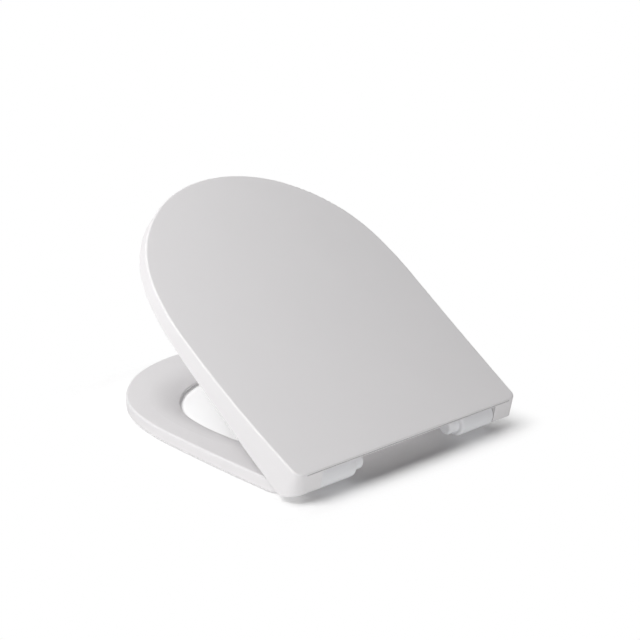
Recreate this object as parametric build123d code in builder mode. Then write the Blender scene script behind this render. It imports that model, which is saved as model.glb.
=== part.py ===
from build123d import *
import os
from math import atan2, cos, degrees, hypot, pi, radians, sin, sqrt, tan

os.makedirs("parts", exist_ok=True)

# Frame: the seat lies on its ring buffers on z = 0, its front points to -Y and the hinge is towards +Y.
# "In front" and "behind" are measured from the hinge axis, heights of the lid from its lower edge.

# Hinge axis and pose
hinge_height = 20.8        # hinge axis above the resting surface
lid_open = 35.5            # the lid's opening angle as modelled, in degrees from shut
fixing_spacing = 155.0     # distance between the two fixing posts

# Lid outline, taken at its lower edge
lid_width = 374.3
flank_draw = 6.35          # how far each flank has drawn in at the hinge axis
lid_front = 431.0          # hinge axis to the front edge
lid_waist = 213.8          # hinge axis to the widest point
nose_share = 0.982         # tightest radius of the rounded front, as a share of the oval's shorter half

# Lid section
lid_low = 5.4              # lower edge above the resting surface with the lid shut
lid_front_height = 19.1
lid_rear_height = 39.9
rise_start = 307.0         # hinge axis to where the top begins to sweep up towards the hinge
lid_draft = 6.0            # lean of the side walls, in degrees
lid_wall = 4.0
lid_plate = 3.6
lid_edge_r = 2.4           # rounding of the top edge
lid_rim_r = 0.8            # rounding of the lower edge
rear_top = 6.4             # the rear face at its top, behind the hinge axis
rear_low = 16.7            # the rear face at its lower edge, behind the hinge axis
rear_low_height = 16.2     # that lower edge above the lid's lower edge
heel = 1.4                 # where the lower edge of the side walls ends, behind the hinge axis
corner_low = 16.0          # rear corner radius at the lower edge
corner_top = 11.0          # rear corner radius at the top
line_drop = 1.9            # shadow line in the rear face, below the sharp corner of top and rear
line_width = 0.8
line_depth = 0.8
line_end = 24.0            # where it stops, inside the lid's widest point

# Seat ring
ring_inset = 7.8           # ring outline inside the lid's lower outline
ring_top = 17.3
ring_rear = 16.5           # rear edge of the ring's two arms, in front of the hinge axis
ring_corner = 20.0
ring_edge_r = 2.6
ring_rim_r = 1.0
bar_rear = 50.0            # rear edge of the bar between the arms, in front of the hinge axis
arm_gap = 3.0              # between the hinge barrel's end and the arm, seen from above
arm_root_r = 14.0          # rounding between bar and arm
arm_tip_r = 5.0
front_border = 73.3        # ring's breadth in front of the hole
side_border = 60.2         # ring's breadth beside the hole
rear_border = 42.0         # ring's breadth behind the hole
hole_waist_shift = 6.9     # hole's widest point behind the lid's
hole_nose_share = 0.984
hole_flank_r = 400.0
hole_end_r = 230.0
hole_corner_r = 75.0
hole_edge_z = 5.6          # top of the hole's edge, below the ring's crest
hole_edge_r = 1.6
dish_width = 37.4          # breadth of the slope down to the hole
dish_power = 2.0           # how the slope steepens from the crest to the hole
dish_steps = 6
channel_land = 11.0        # solid border of the hollow under the ring
hole_land = 16.0           # that border at the hole
channel_depth = 8.0
channel_corner = 9.0

# Buffers
ring_buffer_height = 2.4   # holds the ring off the bowl
ring_buffer_length = 30.0
ring_buffer_width = 14.0
ring_plug_r = 4.0
ring_plug_depth = 6.0
boss_border = 4.0
buffer_bearing = 42.0      # front buffers, degrees off the front, seen from the middle of the nose's arc
front_buffer_inset = 34.5  # front ring buffers inside the ring's outline
rear_buffer_inset = 40.4   # rear ring buffers inside the ring's widest point
rear_buffer_setback = 24.0 # rear ring buffers in front of the bar's rear edge
lid_buffer_r = 8.0
lid_buffer_inset = 18.0    # lid buffers inside the ring's outline
lid_buffer_seat = 1.0      # depth of the seat in the lid's underside
shut_gap = 0.3             # air left between lid buffer and ring with the lid shut

# Hinge, distances out from the middle of the seat
hub_r = 10.2
hub_length = 15.0
hub_edge_r = 3.4
spigot_r = 7.0
spigot_length = 9.8
socket_r = 4.0             # blind socket for the fixing post
socket_top = 4.0           # its end above the hinge axis
socket_land = 0.4          # flat left round its mouth
barrel_r = 15.3
barrel_nose_r = 4.0        # rounding of the end at the hub
barrel_edge_r = 0.6        # rounding of the end at the lid
barrel_room = 5.0          # room in the lid round the barrel
barrel_web = 5.0
barrel_wall = 3.3
end_gap = 0.5              # between barrel and lid lug
lug_width = 11.0
lug_r = 10.0
ear_gap = 1.0              # between lid lug and ring ear
ear_width = 15.0
ear_side = 14.0            # ear inside the lid's lower outline
ear_root = 12.0            # length of the ear's foot in the ring
ear_r = 9.5
shaft_r = 4.0
journal_r = 3.15
drive_flat = 3.2           # half width over the flats of the damper shaft
drum_r = 8.0
lid_bush_r = 6.5
ring_bush_r = 6.2
flange_r = 8.0
lid_flange = 0.6
ring_flange = 1.0
cap_length = 6.5
seal_length = 3.0
seal_r = 6.9

# Fits
running = 0.05             # radial clearance of a shaft or drum that turns
seating = 0.05             # radial clearance of a piece seated in its bore
drum_end_gap = 0.3         # end clearance of the damper drum

# Derived places
half = lid_width / 2
tilt = radians(lid_open)
flank_r = (flank_draw**2 + lid_waist**2) / (2 * flank_draw)
hole_half = half - ring_inset - side_border
hole_front = lid_front - ring_inset - front_border
hole_waist = lid_waist - hole_waist_shift
hole_rear = bar_rear + rear_border

low_h = lid_low - hinge_height
top_front_h = low_h + lid_front_height
top_rear_h = low_h + lid_rear_height
rear_edge_h = low_h + rear_low_height
past = 30.0                # how far cutting outlines reach past the lid
loft_top_h = top_rear_h + past / 6
rear_slope = (rear_low - rear_top) / (top_rear_h - rear_edge_h)
rise_run = rise_start + rear_top
rise_r = (rise_run**2 + (top_rear_h - top_front_h) ** 2) / (2 * (top_rear_h - top_front_h))

# The origin is in the middle: the ring's front and the open lid's rounded rear are equally far from it.
rear_normal = (cos(atan2(rear_slope, 1)), sin(atan2(rear_slope, 1)))
edge_lean = atan2(rise_run, rise_r)
edge_normal = (-sin(edge_lean), cos(edge_lean))
cross = rear_normal[0] * edge_normal[1] - rear_normal[1] * edge_normal[0]
round_x = rear_top - lid_edge_r * (edge_normal[1] - rear_normal[1]) / cross
round_h = top_rear_h - lid_edge_r * (rear_normal[0] - edge_normal[0]) / cross
rear_reach = round_x * cos(tilt) + round_h * sin(tilt) + lid_edge_r
hinge_y = (lid_front - ring_inset - rear_reach) / 2

hub_inner = fixing_spacing / 2 - hub_length / 2
barrel_inner = hub_inner + hub_length
ear_outer = half - flank_draw - ear_side
ear_inner = ear_outer - ear_width
lug_outer = ear_inner - ear_gap
lug_inner = lug_outer - lug_width
barrel_outer = lug_inner - end_gap
bore_r = barrel_r - barrel_wall
bore_end = barrel_inner + spigot_length + 0.1 + barrel_web
cap_outer = barrel_outer - 1.0
cap_inner = cap_outer - cap_length
chamber_end = bore_end + 4.0

hinge_point = (0, hinge_y, hinge_height)
hinge_axis = Axis(hinge_point, (1, 0, 0))
lid_plane = Plane(origin=hinge_point, x_dir=(1, 0, 0), z_dir=(0, sin(tilt), cos(tilt)))
lid_side = Plane(origin=hinge_point, x_dir=(0, cos(tilt), -sin(tilt)), z_dir=(1, 0, 0))
ring_plane = Plane(origin=(0, hinge_y, 0))
cross_plane = Plane(origin=hinge_point, x_dir=(0, 1, 0), z_dir=(1, 0, 0))


def polar(centre, radius, angle):
    return (centre[0] + radius * cos(angle), centre[1] + radius * sin(angle))


def arc(centre, radius, start, end):
    middle = (start + end) / 2
    ThreePointArc(polar(centre, radius, start), polar(centre, radius, middle), polar(centre, radius, end))


def nose_radii(half_width, depth, share):
    """Nose and cheek radius of a rounded front; the smaller one is a share of its shorter half."""
    short = min(half_width, depth)
    long = max(half_width, depth)
    small = short * share
    large = (short**2 + long**2 - 2 * long * small) / (2 * (short - small))
    return (small, large) if half_width < depth else (large, small)


def nose_line(half_width, waist, front, share, inset):
    """Right half of a rounded front, from its widest point to its tip: a cheek arc and a nose arc."""
    depth = front - waist
    nose_r, cheek_r = nose_radii(half_width, depth, share)
    turn = atan2(abs(depth - nose_r), abs(cheek_r - half_width))
    arc((half_width - cheek_r, -waist), cheek_r - inset, 0, -turn)
    arc((0, nose_r - front), nose_r - inset, -turn, -pi / 2)


def d_outline(inset, corner, rear):
    """The D: its right half, from the middle of the rear edge round to the front, and its mirror image."""
    flank = (half - flank_r, -lid_waist)
    reach = flank_r - inset
    corner_y = rear - corner
    corner_x = flank[0] + sqrt((reach - corner) ** 2 - (corner_y + lid_waist) ** 2)
    meet = atan2(corner_y + lid_waist, corner_x - flank[0])
    Line((0, rear), (corner_x, rear))
    arc((corner_x, corner_y), corner, pi / 2, meet)
    arc(flank, reach, meet, 0)
    nose_line(half, lid_waist, lid_front, nose_share, inset)
    mirror(about=Plane.YZ)


def hole_outline(grow):
    """The hole: its right half, from the middle of its rear end to its front, and its mirror image."""
    flank = (hole_half - hole_flank_r, -hole_waist)
    end = (0, -hole_rear - hole_end_r)
    span = hypot(flank[0], end[1] - flank[1])
    to_flank = hole_flank_r - hole_corner_r
    to_end = hole_end_r - hole_corner_r
    along = (to_flank**2 - to_end**2 + span**2) / (2 * span)
    out = sqrt(to_flank**2 - along**2)
    ux = -flank[0] / span
    uy = (end[1] - flank[1]) / span
    corner = (flank[0] + ux * along - uy * out, flank[1] + uy * along + ux * out)
    first = atan2(corner[1] - end[1], corner[0])
    second = atan2(corner[1] - flank[1], corner[0] - flank[0])
    arc(end, hole_end_r + grow, pi / 2, first)
    arc(corner, hole_corner_r + grow, first, second)
    arc(flank, hole_flank_r + grow, second, 0)
    nose_line(hole_half, hole_waist, hole_front, hole_nose_share, -grow)
    mirror(about=Plane.YZ)


def rear_at(height):
    return rear_low - (height - rear_edge_h) * rear_slope


def corner_at(height):
    share = (height - low_h) / (top_rear_h - low_h)
    return corner_low + (corner_top - corner_low) * share


def lean_at(height):
    return (height - low_h) * tan(radians(lid_draft))


def top_at(place):
    """Height of the lid's top at a place along the swept part, counted positive behind the hinge axis."""
    return top_front_h + rise_r - sqrt(rise_r**2 - (place + rise_start) ** 2)


def top_line(drop):
    """The lid's top in side view: level at the front, then one large arc that sweeps up to the rear."""
    level = top_front_h - drop
    end = rear_low + past
    turn = atan2(end + rise_start, sqrt(rise_r**2 - (end + rise_start) ** 2))
    Line((-lid_front - past, level), (-rise_start, level))
    arc((-rise_start, level + rise_r), rise_r, -pi / 2, -pi / 2 + turn)
    return (end, top_at(end) - drop)


def under_plate():
    """Outline of all that lies below the underside of the lid's plate, in side view."""
    corner_point = top_line(lid_plate)
    Polyline(
        corner_point,
        (rear_low + past, low_h - past),
        (-lid_front - past, low_h - past),
        (-lid_front - past, top_front_h - lid_plate),
    )


def bush_flats():
    """Fills a bush's round bore back to the two flats of the damper shaft."""
    bore = shaft_r + running
    chord = 2 * sqrt(bore**2 - drive_flat**2) + 0.4
    depth = bore - drive_flat
    middle = drive_flat + running + depth / 2
    with Locations((0, middle), (0, -middle)):
        Rectangle(chord, depth)


def front_spot(inset):
    """A place near the front, on the right, that far inside the ring's outline."""
    nose_r, cheek_r = nose_radii(half, lid_front - lid_waist, nose_share)
    return polar((0, nose_r - lid_front), nose_r - ring_inset - inset, radians(buffer_bearing) - pi / 2)


def ring_spots():
    """Places of the four ring buffers: x, y and the direction of the long side."""
    front_x, front_y = front_spot(front_buffer_inset)
    rear_x = half - ring_inset - rear_buffer_inset
    rear_y = -bar_rear - rear_buffer_setback
    return (
        (-front_x, front_y, -buffer_bearing),
        (front_x, front_y, buffer_bearing),
        (-rear_x, rear_y, 90),
        (rear_x, rear_y, 90),
    )


def lid_spots():
    x, y = front_spot(lid_buffer_inset)
    return ((-x, y), (x, y))


# Hollow of the lid: the same D drawn in by the wall, under the plate, with its own slanted rear
with BuildPart() as lid_hollow:
    for height in (low_h - lid_plate, loft_top_h):
        with BuildSketch(lid_plane.offset(height)):
            with BuildLine():
                inner_rear = rear_at(height) - lid_wall * hypot(1, rear_slope)
                d_outline(lean_at(height) + lid_wall, corner_at(height) - lid_wall, inner_rear)
            make_face()
    loft(ruled=True)
    with BuildSketch(lid_side):
        with BuildLine():
            under_plate()
        make_face()
    extrude(amount=lid_width, both=True, mode=Mode.INTERSECT)

# Gap in the lid's rear wall between its two corner blocks
with BuildPart() as lid_gate:
    with BuildSketch(lid_side):
        with BuildLine():
            under_plate()
        make_face()
        with Locations((rear_low + past, 0)):
            reach = rear_low + past + barrel_r + barrel_room
            Rectangle(2 * reach, 4 * lid_front, mode=Mode.INTERSECT)
    extrude(amount=lug_inner, both=True)

# Lid: one moulding, a shallow D tray whose top sweeps up to a slanted rear
with BuildPart() as lid:
    for height in (low_h, loft_top_h):
        with BuildSketch(lid_plane.offset(height)):
            with BuildLine():
                d_outline(lean_at(height), corner_at(height), rear_at(height))
            make_face()
    loft(ruled=True)
    with BuildSketch(lid_side):
        with BuildLine():
            corner_point = top_line(0)
            under_slope = rear_low_height / (rear_low - heel)
            Polyline(
                corner_point,
                (rear_low + past, rear_edge_h + past / 2),
                (rear_low, rear_edge_h),
                (heel, low_h),
                (heel - past / under_slope, low_h - past),
                (-lid_front - past, low_h - past),
                (-lid_front - past, top_front_h),
            )
        make_face()
    extrude(amount=lid_width, both=True, mode=Mode.INTERSECT)
    top_faces = lid.faces().filter_by(lambda f: f.normal_at().dot(lid_plane.z_dir) > 0.9)
    seam = top_faces[0].edges() & top_faces[1].edges()
    fillet((top_faces[0].edges() - seam) + (top_faces[1].edges() - seam), lid_edge_r)
    fillet(lid.faces().sort_by(Axis(hinge_point, lid_plane.z_dir))[0].edges(), lid_rim_r)
    with BuildSketch(lid_side):
        line_h = (line_drop + line_width / 2) / hypot(1, rear_slope)
        line_spot = (rear_top + line_h * rear_slope, top_rear_h - line_h, 0)
        with Locations(Location(line_spot, (0, 0, degrees(atan2(-1, rear_slope))))):
            Rectangle(line_width, 2 * line_depth)
    extrude(amount=half - line_end, both=True, mode=Mode.SUBTRACT)
    add(lid_hollow.part, mode=Mode.SUBTRACT)
    add(lid_gate.part, mode=Mode.SUBTRACT)
    for side in (-1, 1):
        with BuildSketch(lid_side.offset(side * lug_inner)):
            Circle(lug_r)
            with BuildLine():
                Polyline(
                    (lug_r, 0),
                    (lug_r, rear_edge_h + (rear_low - lug_r - lid_wall / 6) / rear_slope),
                    (0, top_at(0) - lid_plate / 2),
                    (-lug_r, top_at(-lug_r) - lid_plate / 2),
                    (-lug_r, 0),
                    close=True,
                )
            make_face()
            Circle(lid_bush_r, mode=Mode.SUBTRACT)
        extrude(amount=side * lug_width)
    with BuildSketch(lid_plane.offset(top_front_h - lid_plate)):
        with Locations(*lid_spots()):
            Circle(lid_buffer_r)
    extrude(amount=lid_buffer_seat, mode=Mode.SUBTRACT)
lid.part.label = "lid"
export_step(lid.part, "parts/lid.step")

# Slope from the ring's crest down to the hole
with BuildPart() as ring_dish:
    for step in range(dish_steps + 1):
        share = step / dish_steps
        level = ring_top - (ring_top - hole_edge_z) * share**dish_power
        with BuildSketch(ring_plane.offset(level)):
            with BuildLine():
                hole_outline(dish_width * (1 - share))
            make_face()
    loft()

# Hollow under the ring, which leaves a border all round and a boss at each buffer
with BuildPart() as ring_channel:
    with BuildSketch(ring_plane.offset(ring_buffer_height)):
        with BuildLine():
            d_outline(ring_inset + channel_land, channel_corner, -bar_rear - channel_land)
        make_face()
        with BuildLine():
            hole_outline(hole_land)
        make_face(mode=Mode.SUBTRACT)
        for x, y, turn in ring_spots():
            with Locations(Location((x, y, 0), (0, 0, turn))):
                Rectangle(
                    ring_buffer_length + 2 * boss_border,
                    ring_buffer_width + 2 * boss_border,
                    mode=Mode.SUBTRACT,
                )
    extrude(amount=channel_depth)

# Seat ring: one moulding with a dished top, a hollow underside and two arms with hinge ears at its rear
with BuildPart() as ring:
    with BuildSketch(ring_plane.offset(ring_buffer_height)) as ring_face:
        with BuildLine():
            d_outline(ring_inset, ring_corner, -ring_rear)
        make_face()
        with Locations((0, -ring_rear)):
            Rectangle(2 * (barrel_outer + arm_gap), 2 * (bar_rear - ring_rear), mode=Mode.SUBTRACT)
        arm_sides = ring_face.vertices().filter_by(lambda v: abs(abs(v.X) - barrel_outer - arm_gap) < 0.01)
        fillet(arm_sides.group_by(Axis.Y)[0], arm_root_r)
        arm_sides = ring_face.vertices().filter_by(lambda v: abs(abs(v.X) - barrel_outer - arm_gap) < 0.01)
        fillet(arm_sides.group_by(Axis.Y)[-1], arm_tip_r)
    extrude(amount=ring_top - ring_buffer_height)
    fillet(ring.faces().sort_by(Axis.Z)[-1].edges(), ring_edge_r)
    fillet(ring.faces().sort_by(Axis.Z)[0].edges(), ring_rim_r)
    with BuildSketch(ring_plane.offset(ring_buffer_height)):
        with BuildLine():
            hole_outline(0)
        make_face()
    extrude(amount=ring_top, mode=Mode.SUBTRACT)
    add(ring_dish.part, mode=Mode.SUBTRACT)
    hole_edges = ring.edges().filter_by(lambda e: abs(e.center().Z - hole_edge_z) < 0.01)
    fillet(hole_edges, hole_edge_r)
    hole_foot = ring.faces().filter_by(Axis.Z).sort_by(Axis.Z)[0].inner_wires()[0]
    fillet(hole_foot.edges(), ring_rim_r)
    add(ring_channel.part, mode=Mode.SUBTRACT)
    for side in (-1, 1):
        with BuildSketch(cross_plane.offset(side * ear_inner)):
            Circle(ear_r)
            with Locations((-ring_rear - ear_root, (ring_top + ring_buffer_height) / 2 - hinge_height)):
                Rectangle(ear_root, ring_top - ring_buffer_height - 2 * ring_rim_r)
            make_hull()
            Circle(ring_bush_r, mode=Mode.SUBTRACT)
        extrude(amount=side * ear_width)
    with BuildSketch(ring_plane.offset(ring_buffer_height)):
        with Locations(*[(x, y) for x, y, turn in ring_spots()]):
            Circle(ring_plug_r + seating)
    extrude(amount=ring_plug_depth + 10 * seating, mode=Mode.SUBTRACT)
ring.part.label = "seat_ring"
export_step(ring.part, "parts/seat_ring.step")

# Ring buffers: soft pads with a plug that sits in the ring
for number, (x, y, turn) in enumerate(ring_spots(), start=1):
    with BuildPart() as ring_buffer:
        with BuildSketch(ring_plane):
            with Locations(Location((x, y, 0), (0, 0, turn))):
                SlotOverall(ring_buffer_length, ring_buffer_width)
        extrude(amount=ring_buffer_height)
        fillet(ring_buffer.faces().sort_by(Axis.Z)[0].edges(), 0.8)
        with BuildSketch(ring_plane.offset(ring_buffer_height)):
            with Locations((x, y)):
                Circle(ring_plug_r)
        extrude(amount=ring_plug_depth)
    ring_buffer.part.label = f"ring_buffer_{number}"
    export_step(ring_buffer.part, f"parts/ring_buffer_{number}.step")

# Lid buffers: round pads in shallow seats under the lid
pad_depth = lid_buffer_seat + lid_low + lid_front_height - lid_plate - ring_top - shut_gap
for name, spot in zip(("left", "right"), lid_spots()):
    with BuildPart() as lid_buffer:
        with BuildSketch(lid_plane.offset(top_front_h - lid_plate + lid_buffer_seat)):
            with Locations(spot):
                Circle(lid_buffer_r - seating)
        extrude(amount=-pad_depth)
        fillet(lid_buffer.faces().sort_by(Axis(hinge_point, lid_plane.z_dir))[0].edges(), 1.0)
    lid_buffer.part.label = f"lid_buffer_{name}"
    export_step(lid_buffer.part, f"parts/lid_buffer_{name}.step")

# Hinge on each side: the left damper works on the lid, the right one on the ring
for name, side in (("left", -1), ("right", 1)):
    half_section = Plane(origin=hinge_point, x_dir=(side, 0, 0), z_dir=(0, -side, 0))
    drives_lid = side < 0
    drive_start = lug_inner if drives_lid else ear_inner - ear_gap / 2
    drive_end = ear_inner - ear_gap / 2 if drives_lid else ear_outer + ring_flange
    shaft_end = ear_outer + ring_flange

    # Hub with the blind socket that drops over a fixing post
    with BuildPart() as hub:
        with BuildSketch(half_section):
            with BuildLine():
                Polyline(
                    (hub_inner, 0),
                    (hub_inner, hub_r),
                    (barrel_inner, hub_r),
                    (barrel_inner, spigot_r - seating),
                    (barrel_inner + spigot_length, spigot_r - seating),
                    (barrel_inner + spigot_length, 0),
                    close=True,
                )
            make_face()
        revolve(axis=hinge_axis)
        fillet(hub.edges().filter_by(GeomType.CIRCLE).sort_by(Axis.X)[-1 if side < 0 else 0], hub_edge_r)
        mouth_z = hinge_height - sqrt(hub_r**2 - (socket_r + socket_land) ** 2)
        with BuildSketch(Plane(origin=(side * fixing_spacing / 2, hinge_y, mouth_z))):
            Rectangle(2 * hub_length, 3 * hub_r)
        extrude(amount=-hub_r, mode=Mode.SUBTRACT)
        with BuildSketch(Plane(origin=(side * fixing_spacing / 2, hinge_y, mouth_z))):
            Circle(socket_r)
        extrude(amount=hinge_height + socket_top - mouth_z, mode=Mode.SUBTRACT)
    hub.part.label = f"fixing_hub_{name}"
    export_step(hub.part, f"parts/fixing_hub_{name}.step")

    # Barrel that houses the damper
    with BuildPart() as barrel:
        with BuildSketch(half_section):
            with BuildLine():
                Polyline(
                    (barrel_inner, spigot_r),
                    (barrel_inner, barrel_r),
                    (barrel_outer, barrel_r),
                    (barrel_outer, bore_r),
                    (bore_end, bore_r),
                    (bore_end, 0),
                    (bore_end - barrel_web, 0),
                    (bore_end - barrel_web, spigot_r),
                    close=True,
                )
            make_face()
        revolve(axis=hinge_axis)
        rims = barrel.edges().filter_by(GeomType.CIRCLE).group_by(SortBy.RADIUS)[-1]
        rims = rims.sort_by(Axis((0, 0, 0), (side, 0, 0)))
        fillet(rims[0], barrel_nose_r)
        rims = barrel.edges().filter_by(GeomType.CIRCLE).group_by(SortBy.RADIUS)[-1]
        rims = rims.sort_by(Axis((0, 0, 0), (side, 0, 0)))
        fillet(rims[-1], barrel_edge_r)
    barrel.part.label = f"hinge_barrel_{name}"
    export_step(barrel.part, f"parts/hinge_barrel_{name}.step")

    # Damper cup, seated against the barrel's web
    with BuildPart() as cup:
        with BuildSketch(half_section):
            with BuildLine():
                Polyline(
                    (bore_end, 0),
                    (bore_end, bore_r - seating),
                    (cap_inner, bore_r - seating),
                    (cap_inner, drum_r + running),
                    (chamber_end, drum_r + running),
                    (chamber_end, 0),
                    close=True,
                )
            make_face()
        revolve(axis=hinge_axis)
    cup.part.label = f"damper_cup_{name}"
    export_step(cup.part, f"parts/damper_cup_{name}.step")

    # Damper cap, which closes the cup and carries the shaft
    with BuildPart() as cap:
        with BuildSketch(half_section):
            with BuildLine():
                Polyline(
                    (cap_inner, seal_r + seating),
                    (cap_inner, bore_r - seating),
                    (cap_outer, bore_r - seating),
                    (cap_outer, shaft_r + running),
                    (cap_inner + seal_length, shaft_r + running),
                    (cap_inner + seal_length, seal_r + seating),
                    close=True,
                )
            make_face()
        revolve(axis=hinge_axis)
    cap.part.label = f"damper_cap_{name}"
    export_step(cap.part, f"parts/damper_cap_{name}.step")

    # Shaft seal in the cap's recess
    with BuildPart() as seal:
        with BuildSketch(half_section):
            with BuildLine():
                Polyline(
                    (cap_inner, shaft_r + 2 * running),
                    (cap_inner, seal_r),
                    (cap_inner + seal_length, seal_r),
                    (cap_inner + seal_length, shaft_r + 2 * running),
                    close=True,
                )
            make_face()
        revolve(axis=hinge_axis)
    seal.part.label = f"shaft_seal_{name}"
    export_step(seal.part, f"parts/shaft_seal_{name}.step")

    # Damper rotor: drum and shaft, with two flats where it drives its bush
    with BuildPart() as rotor:
        with BuildSketch(half_section):
            with BuildLine():
                Polyline(
                    (chamber_end + drum_end_gap, 0),
                    (chamber_end + drum_end_gap, drum_r),
                    (cap_inner - drum_end_gap, drum_r),
                    (cap_inner - drum_end_gap, shaft_r),
                    (drive_end, shaft_r),
                    (drive_end, 0),
                    close=True,
                )
            make_face()
        revolve(axis=hinge_axis)
        flat_plane = lid_side if drives_lid else cross_plane
        for sign in (-1, 1):
            with BuildSketch(flat_plane.offset(side * drive_start)):
                with Locations((0, sign * (drive_flat + shaft_r))):
                    Rectangle(4 * shaft_r, 2 * shaft_r)
            extrude(amount=side * (drive_end - drive_start), mode=Mode.SUBTRACT)
        if drives_lid:
            with BuildSketch(cross_plane.offset(side * drive_end)):
                Circle(journal_r)
            extrude(amount=side * (shaft_end - drive_end))
    rotor.part.label = f"damper_rotor_{name}"
    export_step(rotor.part, f"parts/damper_rotor_{name}.step")

    # Bush in the lid's lug
    with BuildPart() as lid_bush:
        with BuildSketch(lid_side.offset(side * lug_inner)):
            Circle(lid_bush_r - seating)
            Circle(shaft_r + running, mode=Mode.SUBTRACT)
            if drives_lid:
                bush_flats()
        extrude(amount=side * lug_width)
        with BuildSketch(lid_side.offset(side * lug_outer)):
            Circle(flange_r)
            Circle(shaft_r + running, mode=Mode.SUBTRACT)
        extrude(amount=side * lid_flange)
    lid_bush.part.label = f"lid_bush_{name}"
    export_step(lid_bush.part, f"parts/lid_bush_{name}.step")

    # Bush in the ring's ear
    with BuildPart() as ring_bush:
        with BuildSketch(cross_plane.offset(side * ear_inner)):
            Circle(ring_bush_r - seating)
            Circle((journal_r if drives_lid else shaft_r) + running, mode=Mode.SUBTRACT)
            if not drives_lid:
                bush_flats()
        extrude(amount=side * ear_width)
        with BuildSketch(cross_plane.offset(side * ear_outer)):
            Circle(flange_r)
            Circle((journal_r if drives_lid else shaft_r) + running, mode=Mode.SUBTRACT)
        extrude(amount=side * ring_flange)
    ring_bush.part.label = f"ring_bush_{name}"
    export_step(ring_bush.part, f"parts/ring_bush_{name}.step")
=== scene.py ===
import math

import bpy
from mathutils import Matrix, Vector

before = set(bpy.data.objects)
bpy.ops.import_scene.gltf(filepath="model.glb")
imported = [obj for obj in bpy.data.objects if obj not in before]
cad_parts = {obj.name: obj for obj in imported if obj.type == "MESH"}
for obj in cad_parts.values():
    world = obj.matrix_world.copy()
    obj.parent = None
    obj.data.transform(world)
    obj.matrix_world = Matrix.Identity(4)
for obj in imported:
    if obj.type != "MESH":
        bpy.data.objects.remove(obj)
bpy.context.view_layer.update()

MM = 0.001

# View: from behind, past the corner on the seat's +X side and a little above it, as in the photo.
# The middle of the picture looks at AIM
AIM = Vector((-146.3, -103.34, 60.6)) * MM
VIEW_AZIMUTH = 138.09
VIEW_ELEVATION = 18.59
VIEW_DISTANCE = 2000 * MM
LENS = 83.07
SENSOR = 36.0

# Moulded plastic: size of the slow drift in tone, how much the skin varies the roughness, and how strong
# its relief is
DRIFT_SIZE = 90 * MM
ROUGHNESS_SPREAD = 0.04
RELIEF_STRENGTH = 0.25
# Painted shade in creases: how far from a spot other walls count, and the open share at which the painted
# shade is darkest and at which it ends
PAINTED_SHADE_REACH = 2.5 * MM
PAINTED_SHADE_DEEPEST = 0.15
PAINTED_SHADE_END = 0.5

# Softbox powers in watts; left is the picture's left, which is the seat's +X side
TOP_POWER = 5.6
FRONT_POWER = 9.0
LEFT_HIGH_POWER = 24.5
LEFT_LOW_POWER = 4.3
REAR_POWER = 12.2

# Floor: its side in metres, its white for the camera, the white that throws light back at the seat, and a
# faint glow that fills the faces turned down
FLOOR_SIDE = 30.0
FLOOR_SHOWN = 1.2
FLOOR_BOUNCE = 0.8
FLOOR_GLOW = 0.18
# Distance from the middle, across and along, where the floor starts to go over to plain white and where it
# gets there; the height, which comes third, plays no part
FADE_FROM = Vector((126, 222, 0)) * MM
FADE_TO = Vector((227, 262, 1000)) * MM

# Sockets of a Mix node: two inputs and the result, first for colours and then for plain numbers
COLOUR_A, COLOUR_B, COLOUR_MIXED = 6, 7, 2
NUMBER_A, NUMBER_B, NUMBER_MIXED = 2, 3, 0


def linear(hex_colour):
    """An sRGB hex colour as linear RGBA."""
    values = []
    for i in (1, 3, 5):
        v = int(hex_colour[i:i + 2], 16) / 255
        values.append(v / 12.92 if v <= 0.04045 else ((v + 0.055) / 1.055) ** 2.4)
    return (*values, 1.0)


def add_node(tree, kind, links=(), **settings):
    """One node with its settings; links are (input, output socket) pairs.
    A setting that is not a property of the node fills the input of that name."""
    node = tree.nodes.new(kind)
    for key, value in settings.items():
        if hasattr(node, key):
            setattr(node, key, value)
        else:
            node.inputs[key.replace("_", " ")].default_value = value
    for target, source in links:
        tree.links.new(source, node.inputs[target])
    return node


def new_material(name):
    """An empty material and its node tree."""
    material = bpy.data.materials.new(name)
    material.use_nodes = True
    material.node_tree.nodes.clear()
    return material, material.node_tree


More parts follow.
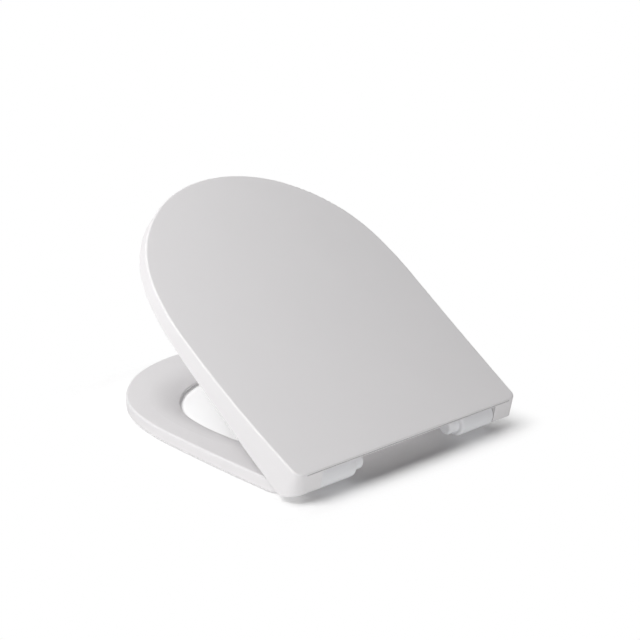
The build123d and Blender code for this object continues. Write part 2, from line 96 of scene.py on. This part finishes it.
def moulded_plastic(name, light, dark, roughness, grain_mm, relief_mm, crease_shade_keep=1.0):
    """Moulded plastic: nearly even colour with a slow drift in tone, and a skin that breaks up reflections.
    The skin's grain is drawn coarser than the real one, so that it shows. Narrow gaps and grooves get
    painted shade: their colour goes darker, down to the given share, so that joints show as fine shaded
    lines."""
    material, tree = new_material(name)
    place = add_node(tree, "ShaderNodeTexCoord").outputs["Object"]
    drift = add_node(tree, "ShaderNodeTexNoise", [("Vector", place)], Scale=1 / DRIFT_SIZE, Detail=3.0,
                     Roughness=0.5)
    tone = add_node(tree, "ShaderNodeMix", [("Factor", drift.outputs["Fac"])], data_type="RGBA")
    tone.inputs[COLOUR_A].default_value = linear(dark)
    tone.inputs[COLOUR_B].default_value = linear(light)
    # Painted shade: the colour is darkened where nearby walls close in, in gaps, grooves and between parts
    open_share = add_node(tree, "ShaderNodeAmbientOcclusion", samples=8, Distance=PAINTED_SHADE_REACH)
    crease_shade_factor = add_node(tree, "ShaderNodeMapRange", [("Value", open_share.outputs["AO"])],
                    From_Min=PAINTED_SHADE_DEEPEST, From_Max=PAINTED_SHADE_END, To_Min=crease_shade_keep, To_Max=1.0)
    shaded_tone = add_node(tree, "ShaderNodeVectorMath",
                     [(0, tone.outputs[COLOUR_MIXED]), ("Scale", crease_shade_factor.outputs["Result"])],
                     operation="SCALE")
    skin = add_node(tree, "ShaderNodeTexNoise", [("Vector", place)], Scale=1 / (grain_mm * MM), Detail=2.0)
    gloss = add_node(tree, "ShaderNodeMapRange", [("Value", skin.outputs["Fac"])],
                     To_Min=roughness - ROUGHNESS_SPREAD, To_Max=roughness + ROUGHNESS_SPREAD)
    relief = add_node(tree, "ShaderNodeBump", [("Height", skin.outputs["Fac"])], Strength=RELIEF_STRENGTH,
                      Distance=relief_mm * MM)
    shader = add_node(
        tree, "ShaderNodeBsdfPrincipled",
        [("Base Color", shaded_tone.outputs["Vector"]), ("Roughness", gloss.outputs["Result"]),
         ("Normal", relief.outputs["Normal"])],
        IOR=1.5,
    )
    add_node(tree, "ShaderNodeOutputMaterial", [("Surface", shader.outputs["BSDF"])])
    return material


# Urea thermoset of lid and ring, pressed in a polished mould: dense white, satin, very even
# Its gaps and grooves get painted shade, darkened down to a quarter of the colour
thermoset = moulded_plastic("white_thermoset", "#ECEAEB", "#E9E7E8", roughness=0.58, grain_mm=2.4,
                            relief_mm=0.010, crease_shade_keep=0.25)
# Acetal of the hinge, injection moulded: a touch cooler, lighter and glossier than the thermoset
# Its gaps and grooves get painted shade, darkened down to a quarter of the colour
acetal = moulded_plastic("white_acetal", "#F2F2F4", "#EEEEF1", roughness=0.5, grain_mm=1.6,
                         relief_mm=0.012, crease_shade_keep=0.25)
# Soft elastomer of the buffers: dull, slightly warm white
elastomer = moulded_plastic("white_elastomer", "#DEDCD6", "#D6D3CC", roughness=0.7, grain_mm=1.2,
                            relief_mm=0.03)
# Glass-filled nylon of the damper: black and dull
nylon = moulded_plastic("black_nylon", "#232426", "#1B1C1E", roughness=0.55, grain_mm=1.4, relief_mm=0.03)
# Nitrile rubber of the shaft seals: black, duller still
nitrile = moulded_plastic("black_nitrile", "#17171A", "#121214", roughness=0.7, grain_mm=1.2,
                          relief_mm=0.03)
# Natural acetal of rotors and bushes: ivory, slippery
bearing = moulded_plastic("natural_acetal", "#E4E0D3", "#DCD8CA", roughness=0.35, grain_mm=1.4,
                          relief_mm=0.012)

FINISH = {
    "lid": thermoset, "seat_ring": thermoset,
    "hinge_barrel": acetal, "fixing_hub": acetal,
    "lid_buffer": elastomer, "ring_buffer": elastomer,
    "damper_cup": nylon, "damper_cap": nylon,
    "shaft_seal": nitrile,
    "damper_rotor": bearing, "lid_bush": bearing, "ring_bush": bearing,
}


def finish_for(node):
    """Material of a CAD node; left, right and numbered nodes share the one of their stem."""
    if node in FINISH:
        return FINISH[node]
    return FINISH[node.rsplit("_", 1)[0]]


for node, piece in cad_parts.items():
    piece.data.materials.clear()
    piece.data.materials.append(finish_for(node))


def paper_floor():
    """A wide pale sheet that keeps the seat's shadow near it and goes over to plain white further off."""
    bpy.ops.object.select_all(action="DESELECT")
    bpy.ops.mesh.primitive_plane_add(size=FLOOR_SIDE, location=(0, 0, 0))
    floor = bpy.context.object
    floor.name = "floor"
    material, tree = new_material("white_paper")
    seen = add_node(tree, "ShaderNodeLightPath").outputs["Is Camera Ray"]
    shown = add_node(tree, "ShaderNodeMix", [("Factor", seen)], data_type="RGBA")
    shown.inputs[COLOUR_A].default_value = (FLOOR_BOUNCE, FLOOR_BOUNCE, FLOOR_BOUNCE, 1)
    shown.inputs[COLOUR_B].default_value = (FLOOR_SHOWN, FLOOR_SHOWN, FLOOR_SHOWN, 1)
    paper = add_node(tree, "ShaderNodeBsdfDiffuse", [("Color", shown.outputs[COLOUR_MIXED])])
    place = add_node(tree, "ShaderNodeTexCoord").outputs["Object"]
    side = add_node(tree, "ShaderNodeVectorMath", [(0, place)], operation="ABSOLUTE")
    past = add_node(tree, "ShaderNodeVectorMath", [(0, side.outputs["Vector"])], operation="SUBTRACT")
    past.inputs[1].default_value = FADE_FROM
    gone = add_node(tree, "ShaderNodeVectorMath", [(0, past.outputs["Vector"])], operation="DIVIDE")
    gone.inputs[1].default_value = FADE_TO - FADE_FROM
    outside = add_node(tree, "ShaderNodeVectorMath", [(0, gone.outputs["Vector"])], operation="MAXIMUM")
    outside.inputs[1].default_value = (0, 0, 0)
    reach = add_node(tree, "ShaderNodeVectorMath", [(0, outside.outputs["Vector"])], operation="LENGTH")
    far = add_node(tree, "ShaderNodeMapRange", [("Value", reach.outputs["Value"])],
                   interpolation_type="SMOOTHSTEP")
    share = add_node(tree, "ShaderNodeMix", [("Factor", seen), (NUMBER_B, far.outputs["Result"])])
    share.inputs[NUMBER_A].default_value = FLOOR_GLOW
    white = add_node(tree, "ShaderNodeEmission", Strength=1.0)
    surface = add_node(tree, "ShaderNodeMixShader",
                       [(0, share.outputs[NUMBER_MIXED]), (1, paper.outputs["BSDF"]),
                        (2, white.outputs["Emission"])])
    add_node(tree, "ShaderNodeOutputMaterial", [("Surface", surface.outputs["Shader"])])
    floor.data.materials.append(material)


paper_floor()


def studio_world():
    """White for the camera, in reflections and through clear pieces; the softboxes and floor give light."""
    world = bpy.data.worlds.new("studio")
    bpy.context.scene.world = world
    world.use_nodes = True
    tree = world.node_tree
    tree.nodes.clear()
    path = add_node(tree, "ShaderNodeLightPath")
    mirrored = add_node(tree, "ShaderNodeMath",
                        [(0, path.outputs["Is Camera Ray"]), (1, path.outputs["Is Glossy Ray"])],
                        operation="MAXIMUM")
    seen = add_node(tree, "ShaderNodeMath",
                    [(0, mirrored.outputs["Value"]), (1, path.outputs["Is Transmission Ray"])],
                    operation="MAXIMUM")
    sky = add_node(tree, "ShaderNodeBackground", [("Strength", seen.outputs["Value"])], Color=(1, 1, 1, 1))
    add_node(tree, "ShaderNodeOutputWorld", [("Surface", sky.outputs["Background"])])


studio_world()


def softbox(name, place, aim, width, height, power):
    """A soft lamp at a place, turned to its aim; lengths in metres."""
    lamp = bpy.data.lights.new(name, "AREA")
    lamp.shape = "RECTANGLE"
    lamp.size = width
    lamp.size_y = height
    lamp.energy = power
    holder = bpy.data.objects.new(name, lamp)
    bpy.context.scene.collection.objects.link(holder)
    holder.location = place
    holder.rotation_euler = (Vector(aim) - Vector(place)).to_track_quat("-Z", "Y").to_euler()


softbox("top_box", place=(0, 0, 2.4), aim=(0, 0, 0), width=0.7, height=0.7, power=TOP_POWER)
softbox("front_box", place=(0.5, -1.1, 2.0), aim=(0, 0, 0.1), width=1.6, height=1.2, power=FRONT_POWER)
softbox("left_high", place=(1.25, -0.1, 1.55), aim=(0, 0, 0.1), width=1.2, height=0.8,
        power=LEFT_HIGH_POWER)
softbox("left_low", place=(1.8, -0.35, 0.16), aim=(0, -0.05, 0.08), width=1.8, height=0.28,
        power=LEFT_LOW_POWER)
softbox("rear_low", place=(0.5, 1.87, 0.1), aim=(0, 0.2, 0.03), width=2.2, height=0.16, power=REAR_POWER)

turn = math.radians(VIEW_AZIMUTH)
lift = math.radians(VIEW_ELEVATION)
to_camera = Vector((math.sin(turn) * math.cos(lift), -math.cos(turn) * math.cos(lift), math.sin(lift)))

camera = bpy.data.cameras.new("camera")
camera.sensor_fit = "HORIZONTAL"
camera.sensor_width = SENSOR
camera.lens = LENS
camera_holder = bpy.data.objects.new("camera", camera)
bpy.context.scene.collection.objects.link(camera_holder)
camera_holder.location = AIM + to_camera * VIEW_DISTANCE
camera_holder.rotation_euler = (-to_camera).to_track_quat("-Z", "Y").to_euler()
bpy.context.scene.camera = camera_holder

bpy.context.scene.view_settings.view_transform = "Standard"
